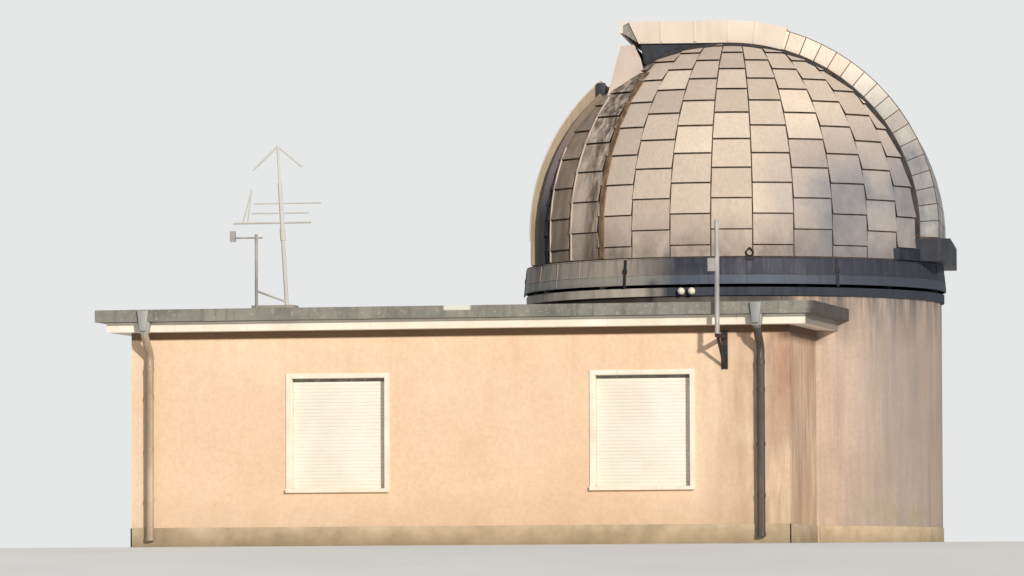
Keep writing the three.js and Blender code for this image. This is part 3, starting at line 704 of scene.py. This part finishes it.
def buildLeafPanels():
    settings = leafPanels
    start, across = settings["start"], settings["across"]
    degrees = settings["end"] - start
    sheet = startEdge(onArc(settings["sheet"], start, -across), onArc(settings["sheet"], start, across),
                      settings["rows"] - 1)
    makeTiles(sheet, degrees, settings["steps"], (-1, 0, 0), settings["seed"], settings["gap"],
              settings["thickness"], settings["bevel"])
    finishPiece([sheet], "leafPanels", leafSheet, "dome", place=domeFrame)
    beads = []
    for side in (-1, 1):
        centre = onArc(settings["beadAt"], start, side * settings["beadAcross"])
        bead = startShape(bpy.ops.mesh.primitive_circle_add, vertices=8, radius=settings["beadRadius"],
                          fill_type="NGON", location=centre, rotation=(0, math.radians(start + 90), 0))
        sweep(bead, degrees, settings["beadSteps"])
        fixNormals(bead)
        beads.append(bead)
    finishPiece(beads, "leafBeads", creamSheet, "dome", 40, domeFrame)


buildArchTiles()
buildLeafPanels()
print("stage: arch and leaf")

# Dark plates along both edges of the slit under the hood's front, closing the gap there and dark as painted
# shade of it, and dark blocks at the leaf's head as painted shade of an opening
slitEdge = {"start": -27.2, "end": 0.0, "root": 2.335, "top": 2.448, "inner": 1.118, "outer": 1.148,
            "steps": 8, "pullIn": 0.9, "bevel": 0.003, "darkBlockLow": (-1.69, 1.155, 1.735),
            "darkBlockHigh": (-1.575, 1.205, 1.925), "darkBlockBevel": 0.008}


def buildSlitEdge():
    top = slitEdge["top"]
    plates = []
    for side in (-1, 1):
        inner = side * slitEdge["inner"]
        plate = startEdge(onArc(slitEdge["root"], slitEdge["end"], inner), (0, inner, top))
        sweep(plate, slitEdge["start"] - slitEdge["end"], slitEdge["steps"])
        # the swept head is laid level under the hood's foot
        for vertex in plate.data.vertices:
            if math.hypot(vertex.co.x, vertex.co.z) > slitEdge["root"] + 0.01:
                angle = math.atan2(vertex.co.x, vertex.co.z)
                vertex.co = (top * math.tan(angle) * slitEdge["pullIn"], vertex.co.y, top)
        faceTowards(plate, (0, side, 0))
        thicken(plate, slitEdge["outer"] - slitEdge["inner"], slitEdge["bevel"])
        plates.append(plate)
        low, high = Vector(slitEdge["darkBlockLow"]), Vector(slitEdge["darkBlockHigh"])
        low.y, high.y = sorted((side * low.y, side * high.y))
        plates.append(startBlock(low, high, slitEdge["darkBlockBevel"]))
    finishPiece(plates, "slitShadePlates", darkPaintAndShade, "dome", place=domeFrame)


buildSlitEdge()

# Cover strips on the hood's cheeks, and the folded flange along their lower edge
hoodTrim = {"half": 1.195, "foot": 2.424, "top": 2.708, "proud": 0.004, "stripWidth": 0.035,
            "strips": (-0.86, -0.43, 0.0, 0.36), "flange": 0.022, "flangeStart": -1.13, "bevel": 0.0015}


def buildHoodTrim():
    foot, top, halfStrip = hoodTrim["foot"], hoodTrim["top"], hoodTrim["stripWidth"] / 2
    pieces = []
    for side in (-1, 1):
        near, far = sorted((side * hoodTrim["half"], side * (hoodTrim["half"] + hoodTrim["proud"])))
        strip = startBlock((-halfStrip, near, foot + 0.004), (halfStrip, far, top - 0.002), hoodTrim["bevel"])
        # behind the zenith a strip leans back with the hood's round part
        pieces += spread(strip, [Matrix.Rotation(math.asin(x / top), 4, "Y") if x > 0
                                 else Matrix.Translation((x, 0, 0)) for x in hoodTrim["strips"]])
        pieces.append(startBlock((hoodTrim["flangeStart"], near, foot + 0.001),
                                 (0.0, far, foot + hoodTrim["flange"]), hoodTrim["bevel"]))
    finishPiece(pieces, "hoodTrim", creamSheet, "hood", 30, domeFrame)


buildHoodTrim()

# Zinc gussets that close the ends between the hood's front lip and its cheeks, grey as painted shade of the
# hood's inside
hoodGussets = {"inner": 1.163, "thickness": 0.009, "bevel": 0.001, "lipFoot": (-1.349, 2.562),
               "cheekFoot": (-1.147, 2.428), "rise": 0.1, "headShift": (-0.128, 0, 0.163)}


def buildHoodGussets():
    settings = hoodGussets
    (lipX, lipZ), (cheekX, cheekZ) = settings["lipFoot"], settings["cheekFoot"]
    plates = []
    for side in (-1, 1):
        across = side * settings["inner"]
        plate = startEdge((lipX, across, lipZ), (cheekX, across, cheekZ))
        editAll("EDGE")
        extrude((0, 0, settings["rise"]))
        pick(plate, "VERT", lambda vertex: abs(vertex.co.z - cheekZ - settings["rise"]) < 0.001)
        bpy.ops.transform.translate(value=settings["headShift"])
        objectMode()
        faceTowards(plate, (0, side, 0))
        thicken(plate, settings["thickness"], settings["bevel"])
        plates.append(plate)
    finishPiece(plates, "hoodGussets", zincPatinaAndShade, "hood", 30, domeFrame)


buildHoodGussets()

# Standing seams, two rolled beads, clamps and lifting eyes on the skirt; x is outwards from its sheet
skirtTrim = {"foot": 3.32, "top": 3.638, "footRadius": 2.7215, "topRadius": 2.6905,
             "seams": 36, "firstSeam": 4, "seamWidth": 0.012, "seamRoot": -0.012, "proud": 0.006,
             "sunk": 0.003, "ringHeights": (3.425, 3.632), "ringRadius": 0.007, "ringSunk": 0.002,
             "clipAngles": (-109.9, -50.8, 69.3, 129.4, -169.9), "clipFoot": 3.277,
             "armLow": (-0.006, -0.019), "armHigh": (0.011, 0.019),
             "headLow": (-0.014, -0.03, 0.13), "headHigh": (0.016, 0.03, 0.19),
             "eyeAngles": (-75.2, 89.8), "eyeAt": 2.699, "eyeRadius": 0.045, "eyeThickness": 0.011,
             "eyeMiddle": (0.004, 0, 3.7), "eyeWaist": (0.004, 0, 3.72), "eyeTaper": (1, 0.7, 1.25),
             "plateLow": (-0.006, -0.05, 3.6), "plateHigh": (0.004, 0.05, 3.665)}


def buildSkirtSeams():
    settings = skirtTrim
    foot, footRadius = settings["foot"], settings["footRadius"]
    height, inwards = settings["top"] - foot, settings["topRadius"] - footRadius
    half = settings["seamWidth"] / 2
    seam = startBlock((settings["seamRoot"], -half, 0.0), (settings["proud"], half, height), 0.002)
    seam.data.transform(Matrix.Translation((footRadius - settings["sunk"], 0, foot))
                        @ Matrix.Rotation(math.atan2(inwards, height), 4, "Y"))
    pieces = spread(seam, [turnedBy(i * 360 / settings["seams"] + settings["firstSeam"])
                           for i in range(settings["seams"])])
    for z in settings["ringHeights"]:
        radius = footRadius + inwards * ((z - foot) / height) - settings["ringSunk"]
        ring = startShape(bpy.ops.mesh.primitive_circle_add, vertices=8, radius=settings["ringRadius"],
                          location=(radius, 0, z), rotation=(math.radians(90), 0, 0))
        sweep(ring, -360, 96, (0, 0, 1))
        fixNormals(ring)
        pieces.append(ring)
    finishPiece(pieces, "skirtSeams", skirtLead, "dome", 40)


def buildSkirtClips():
    settings = skirtTrim
    foot, footRadius = settings["foot"], settings["footRadius"]
    height = settings["top"] - foot
    lean = Matrix.Rotation(math.atan2(settings["topRadius"] - footRadius, height), 4, "Y")
    clip = joinPieces([startBlock((*settings["armLow"], settings["clipFoot"] - foot),
                                  (*settings["armHigh"], height - 0.008), 0.003),
                       startBlock(settings["headLow"], settings["headHigh"], 0.005)])
    plate = startBlock(settings["plateLow"], settings["plateHigh"], 0.003)
    ring = startShape(bpy.ops.mesh.primitive_torus_add, major_segments=20, minor_segments=8,
                      major_radius=settings["eyeRadius"], minor_radius=settings["eyeThickness"],
                      location=settings["eyeMiddle"], rotation=(0, math.radians(90), 0))
    pick(ring, "VERT", lambda vertex: vertex.co.z > settings["eyeWaist"][2])
    taper(settings["eyeTaper"], settings["eyeWaist"])
    eye = joinPieces([plate, ring])
    pieces = spread(clip, [turnedBy(angle) @ Matrix.Translation((footRadius, 0, foot)) @ lean
                           for angle in settings["clipAngles"]])
    pieces += spread(eye, [turnedBy(angle) @ Matrix.Translation((settings["eyeAt"], 0, 0))
                           for angle in settings["eyeAngles"]])
    finishPiece(pieces, "skirtClips", darkIron, "dome")


buildSkirtSeams()
buildSkirtClips()
print("stage: hood and skirt")

# Roller shutter slats, flat bars with rounded edges over a thicker end bar, in front of every closed shutter
slats = {"height": 0.043, "gap": 0.001, "depth": 0.008, "bottom": 0.752, "top": 2.095, "width": 1.196,
         "into": 0.002, "bevel": 0.002, "barDepth": 0.014, "barLow": -0.006, "barHigh": 0.03,
         "barBevel": 0.004, "lining": 0.004, "outside": 0.006, "slotTop": 2.129, "slotDepth": 0.005,
         "thinBevel": 0.001}


def makeCurtain(count):
    half, into, bottom = slats["width"] / 2, slats["into"], slats["bottom"]
    slat = startBlock((-half, -slats["depth"], 0.0), (half, into, slats["height"] - slats["gap"]),
                      slats["bevel"])
    stack = spread(slat, [Matrix.Translation((0, 0, bottom + i * slats["height"])) for i in range(count)])
    stack.append(startBlock((-half, -slats["barDepth"], bottom + slats["barLow"]),
                            (half, into, bottom + slats["barHigh"]), slats["barBevel"]))
    return joinPieces(stack)


def buildSlats():
    half, bottom, top = slats["width"] / 2, slats["bottom"], slats["slotTop"]
    thin, bevel = slats["lining"], slats["thinBevel"]
    count = int((slats["top"] - bottom) / slats["height"])
    curtain = makeCurtain(count)
    for window in windows:
        low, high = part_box(f"{window}_roller_shutter")
        centre = (low + high) / 2
        if window == "left_window":
            place = Matrix.Translation((low.x, centre.y, 0)) @ turnedBy(-90)
            span, deep = (high.y - low.y) / 2, low.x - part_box("left_wall")[0].x
        else:
            place = Matrix.Translation((centre.x, low.y, 0))
            span, deep = (high.x - low.x) / 2, low.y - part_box("front_wall")[0].y
        finishPiece([copyPiece(curtain, place)], f"{window}_slats", shutterPvc, "building")
        # white lining of the opening, and a grey strip where the curtain comes out, standing for the slot and
        # the lintel's shadow as painted shade
        front = -deep - slats["outside"]
        lining = [startBlock((-span - thin, front, bottom), (-span + thin, 0.0, top), bevel),
                  startBlock((span - thin, front, bottom), (span + thin, 0.0, top), bevel),
                  startBlock((-span, front, top - thin), (span, 0.0, top + thin), bevel)]
        finishPiece(lining, f"{window}_lining", whitePaint, "building", place=place)
        slot = startBlock((-half, -slats["slotDepth"], bottom + count * slats["height"]),
                          (half, slats["into"], top - thin), bevel)
        finishPiece([slot], f"{window}_slot", zincPatinaAndShade, "building", place=place)
    bpy.data.objects.remove(curtain)


buildSlats()

# Plinth band round the foot of the walls: straight lengths on the annexe and a curve on the drum
plinth = {"height": 0.27, "proud": 0.014, "into": 0.01, "bevel": 0.005, "backEnd": -2.664,
          "rightEnd": -2.227, "radius": 2.658, "start": -56.0, "degrees": 235.5, "steps": 58,
          "curveBevel": 0.004}


def buildPlinth():
    top, out, into, radius = plinth["height"], plinth["proud"], plinth["into"], plinth["radius"]
    (left, front, _), (right, _, _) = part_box("front_wall")
    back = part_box("back_wall")[1].y
    lengths = (((left - out, front - out, 0), (right + out, front + into, top)),
               ((left - out, front - out, 0), (left + into, back + out, top)),
               ((left - out, back - into, 0), (plinth["backEnd"], back + out, top)),
               ((right - into, front - out, 0), (right + out, plinth["rightEnd"], top)))
    bands = [startBlock(low, high, plinth["bevel"]) for low, high in lengths]
    curve = startEdge((radius, 0, 0), (radius, 0, top))
    curve.data.transform(turnedBy(plinth["start"]))
    sweep(curve, plinth["degrees"], plinth["steps"], (0, 0, 1))
    faceTowards(curve, curve.data.polygons[0].center)
    thicken(curve, out, plinth["curveBevel"])
    finishPiece(bands + [curve], "plinthBand", plinthRender, "building")


buildPlinth()

# Rainwater heads under the gutter with cups below them, and the pipes' sockets
pipes = {"places": (-6.7, 1.105), "front": -4.343, "wall": -4.105,
         "headLow": (-0.07, -0.105, 2.735), "headHigh": (0.07, -0.0615, 2.99), "headBevel": 0.006,
         "headWaist": 2.8, "headTaper": (0.62, 1, 1),
         "cupLow": (-0.075, -0.075, 2.7), "cupHigh": (0.075, 0.055, 2.845), "cupBevel": 0.008,
         "cupWaist": 2.72, "cupTaper": (0.72, 0.72, 1),
         "sockets": (0.14, 0.62, 1.25, 1.92, 2.26), "socketRadius": 0.0555, "socketHeight": 0.055,
         "socketRim": 0.003, "socketBevel": 0.0015}


def buildPipeFittings():
    pieces = []
    for x in pipes["places"]:
        at = Vector((x, pipes["front"], 0))
        for part in ("head", "cup"):
            low, high = Vector(pipes[f"{part}Low"]) + at, Vector(pipes[f"{part}High"]) + at
            box = startBlock(low, high, pipes[f"{part}Bevel"])
            pick(box, "VERT", lambda vertex: vertex.co.z < pipes[f"{part}Waist"])
            taper(pipes[f"{part}Taper"], (x, pipes["front"], low.z))
            pieces.append(box)
        for z in pipes["sockets"]:
            socket = startShape(bpy.ops.mesh.primitive_cylinder_add, vertices=20,
                                radius=pipes["socketRadius"], depth=pipes["socketHeight"],
                                location=(x, pipes["wall"], z))
            pick(socket, "FACE", lambda face: abs(face.normal.z) > 0.9)
            bpy.ops.mesh.inset(thickness=pipes["socketRim"])
            bpy.ops.mesh.select_all(action="SELECT")
            bpy.ops.mesh.bevel(offset=pipes["socketBevel"], segments=1, affect="EDGES")
            objectMode()
            pieces.append(socket)
    finishPiece(pieces, "pipeFittings", pipeZinc, "building")


buildPipeFittings()

# Two small white lamps on the curb over the annexe roof, drawn in towards their bases
lamps = {"places": ((-0.165, -2.735, 3.215), (-0.03, -2.745, 3.215)), "radius": 0.047, "waist": 0.012,
         "taper": (0.7, 1, 0.7), "baseLow": (-0.03, 0.02, -0.035), "baseHigh": (0.03, 0.05, 0.035),
         "bevel": 0.006}


def buildLamps():
    globe = startShape(bpy.ops.mesh.primitive_uv_sphere_add, segments=16, ring_count=10,
                       radius=lamps["radius"])
    pick(globe, "VERT", lambda vertex: vertex.co.y > lamps["waist"])
    taper(lamps["taper"], (0, 0, 0))
    lamp = joinPieces([globe, startBlock(lamps["baseLow"], lamps["baseHigh"], lamps["bevel"])])
    pair = spread(lamp, [Matrix.Translation(place) for place in lamps["places"]])
    finishPiece(pair, "curbLamps", whitePaint, "building", 45)


buildLamps()

# Felt laps across the roof that end at the drum, and gravel left on it, some of it along the front edge
roofTrim = {"top": 2.954, "laps": 8, "lapHalf": 0.05, "lapProud": 0.005, "lapBevel": 0.002, "drumFrom": -2.8,
            "drumRadius": 2.666, "stones": 230, "seed": 7, "looseShare": 0.6, "edgeWidth": 0.3,
            "clearRadius": 2.78, "sizes": (0.018, 0.055), "widths": (0.6, 1.0), "heights": (0.4, 0.7),
            "rise": 0.22, "stoneBevel": 0.06}


def buildFeltLaps():
    low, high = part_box("roof_covering")
    half, top = roofTrim["lapHalf"], roofTrim["top"]
    laps = []
    for i in range(1, roofTrim["laps"] + 1):
        x = low.x + (high.x - low.x) * i / (roofTrim["laps"] + 1)
        drum = -math.sqrt(max(roofTrim["drumRadius"] ** 2 - x * x, 0.0))
        back = high.y if x < roofTrim["drumFrom"] else drum
        laps.append(startBlock((x - half, low.y + 0.002, top - 0.001),
                               (x + half, back, top + roofTrim["lapProud"]), roofTrim["lapBevel"]))
    finishPiece(laps, "feltLaps", roofFelt, "building")


def buildGravel():
    low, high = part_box("roof_covering")
    dice = random.Random(roofTrim["seed"])
    stone = startShape(bpy.ops.mesh.primitive_ico_sphere_add, subdivisions=1, radius=0.5)
    editAll("EDGE")
    bpy.ops.mesh.bevel(offset=roofTrim["stoneBevel"], segments=1, affect="EDGES")
    objectMode()
    places = []
    while len(places) < roofTrim["stones"]:
        x = dice.uniform(low.x + 0.1, high.x - 0.1)
        if dice.random() < roofTrim["looseShare"]:
            y = dice.uniform(low.y + 0.03, high.y - 0.1)
        else:
            y = dice.uniform(low.y + 0.02, low.y + roofTrim["edgeWidth"])
        if math.hypot(x, y) < roofTrim["clearRadius"]:
            continue
        size = dice.uniform(*roofTrim["sizes"])
        turn = Matrix.Rotation(dice.uniform(0, 6.28), 4, "Z")
        shape = Matrix.Diagonal((size, size * dice.uniform(*roofTrim["widths"]),
                                 size * dice.uniform(*roofTrim["heights"]), 1))
        places.append(Matrix.Translation((x, y, roofTrim["top"] + size * roofTrim["rise"])) @ turn @ shape)
    finishPiece(spread(stone, places), "roofGravel", gravel, "building", 50)


buildFeltLaps()
buildGravel()

# Concrete ballast round the aerial's foot, and the stay between the two roof masts
mastFoot = {"slabLow": (-5.91, -2.12, 3.0), "slabHigh": (-5.34, -1.88, 3.145), "slabBevel": 0.012,
            "stayLow": (-5.47, -2.0, 3.19), "stayHigh": (-5.744, -2.46, 3.31), "stayHalf": 0.012,
            "stayBevel": 0.004}


def buildMastFoot():
    slab = startBlock(mastFoot["slabLow"], mastFoot["slabHigh"], mastFoot["slabBevel"])
    finishPiece([slab], "mastBallast", concrete, "building")
    low, half = Vector(mastFoot["stayLow"]), mastFoot["stayHalf"]
    along = Vector(mastFoot["stayHigh"]) - low
    stay = startBlock((0, -half, -half), (along.length, half, half), mastFoot["stayBevel"])
    stay.data.transform(Matrix.Translation(low) @ along.to_track_quat("X", "Z").to_matrix().to_4x4())
    finishPiece([stay], "mastStay", mastPaint, "building")


buildMastFoot()

# Boards of the back door, and the plate, spindle and lever of its handle, given from the door's edge
door = {"boards": 6, "joint": 0.003, "into": 0.002, "inset": 0.004, "proud": 0.014, "bevel": 0.004,
        "handle": (((0.05, 0.012, 1.18), (0.09, 0.018, 1.4), 0.002),
                   ((0.06, 0.014, 1.3), (0.08, 0.06, 1.32), 0.004),
                   ((0.055, 0.048, 1.3), (0.18, 0.062, 1.322), 0.005))}


def buildDoorTrim():
    joint, inset = door["joint"], door["inset"]
    low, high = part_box("back_door")
    width = (high.x - low.x) / door["boards"]
    board = startBlock((joint, -door["into"], inset), (width - joint, door["proud"], high.z - low.z - inset),
                       door["bevel"])
    boards = spread(board, [Matrix.Translation((low.x + i * width, high.y, low.z))
                            for i in range(door["boards"])])
    finishPiece(boards, "doorBoards", doorLarch, "building")
    handle = [startBlock(start, end, bevel) for start, end, bevel in door["handle"]]
    finishPiece(handle, "doorHandle", darkIron, "building",
                place=Matrix.Translation((low.x, high.y, 0)))


buildDoorTrim()
print("stage: walls, windows, pipes and roof")

# Camera where the photograph was taken from, turned and narrowed to the building; angles in degrees
photoCamera = {"place": (17.2944, -89.4782, -1.0698), "yaw": 12.755, "pitch": 2.805, "roll": -0.216,
               "lens": 248.0, "sensor": 36.0, "nearest": 1.0, "farthest": 600.0}


def addCamera():
    settings = photoCamera
    data = bpy.data.cameras.new("photoCamera")
    data.sensor_width = settings["sensor"]
    data.lens = settings["lens"]
    data.clip_start = settings["nearest"]
    data.clip_end = settings["farthest"]
    camera = bpy.data.objects.new("photoCamera", data)
    bpy.context.collection.objects.link(camera)
    camera.matrix_world = (Matrix.Translation(settings["place"]) @ turnedBy(settings["yaw"])
                           @ Matrix.Rotation(math.radians(90 + settings["pitch"]), 4, "X")
                           @ turnedBy(settings["roll"]))
    bpy.context.scene.camera = camera


# Low sun from the right of the camera, a wide soft lamp from behind, and even light from all round
studio = {"sunAzimuth": 33.0, "sunHeight": 16.5, "sunPower": 3.05, "sunSpread": 2.5, "sunColour": "#fff7ec",
          "backAzimuth": 205.0, "backHeight": 38.0, "backPower": 1.1, "backSpread": 60.0,
          "backColour": "#eef3ff", "fillPower": 0.3, "fill": "#e6edf5", "backdrop": "#e6e7e7"}


def addSun(name):
    settings = {key[len(name):]: value for key, value in studio.items() if key.startswith(name)}
    sun = bpy.data.lights.new(name + "Light", "SUN")
    sun.energy = settings["Power"]
    sun.angle = math.radians(settings["Spread"])
    sun.color = hexToLinear(settings["Colour"])[:3]
    lamp = bpy.data.objects.new(name + "Light", sun)
    bpy.context.collection.objects.link(lamp)
    azimuth, height = math.radians(settings["Azimuth"]), math.radians(settings["Height"])
    level = math.cos(height)
    towards = Vector((math.sin(azimuth) * level, -math.cos(azimuth) * level, math.sin(height)))
    lamp.rotation_euler = towards.to_track_quat("Z", "Y").to_euler()


def addLight():
    addSun("sun")
    addSun("back")
    world = bpy.data.worlds.new("paleStudio")
    world.use_nodes = True
    tree = world.node_tree
    tree.nodes.clear()
    seen = addNode(tree, "Background", {"Color": hexToLinear(studio["backdrop"]), "Strength": 1.0})
    fill = addNode(tree, "Background", {"Color": hexToLinear(studio["fill"]),
                                        "Strength": studio["fillPower"]})
    path = addNode(tree, "LightPath")
    mix = addNode(tree, "MixShader", {0: path.outputs["Is Camera Ray"], 1: fill.outputs[0],
                                      2: seen.outputs[0]})
    addNode(tree, "OutputWorld", {"Surface": mix.outputs[0]})
    bpy.context.scene.world = world
    bpy.context.scene.view_settings.view_transform = "Standard"


# Level floor under the building that falls away in front, because the camera stands lower than the ground
ground = {"halfWidth": 90, "back": 70, "front": -6.5, "patch": 4.0, "tones": ("#e8e5df", "#f1eee8"),
          "steps": ((0, -2, -0.04), (0, -2, -0.1), (0, -2, -0.15), (0, -2, -0.17), (0, -44, -3.6),
                    (0, -8, -0.4), (0, -8, -0.15), (0, -90, 0))}


def addFloor():
    floor = startShape(bpy.ops.mesh.primitive_plane_add, size=2)
    for vertex in floor.data.vertices:
        vertex.co.x *= ground["halfWidth"]
        vertex.co.y = ground["back"] if vertex.co.y > 0 else ground["front"]
    for step in ground["steps"]:
        frontMost = min(vertex.co.y for vertex in floor.data.vertices)
        pick(floor, "VERT", lambda vertex: vertex.co.y < frontMost + 0.01)
        extrude(step)
        objectMode()
    bpy.ops.object.shade_smooth()
    floor.name = "paleFloor"
    paint = Finish("paleFloorPaint", 0.9, ground["patch"], list(zip((0.3, 0.7), ground["tones"]))).done()
    floor.data.materials.append(paint)


addCamera()
addLight()
addFloor()
print("stage: camera, light and floor")
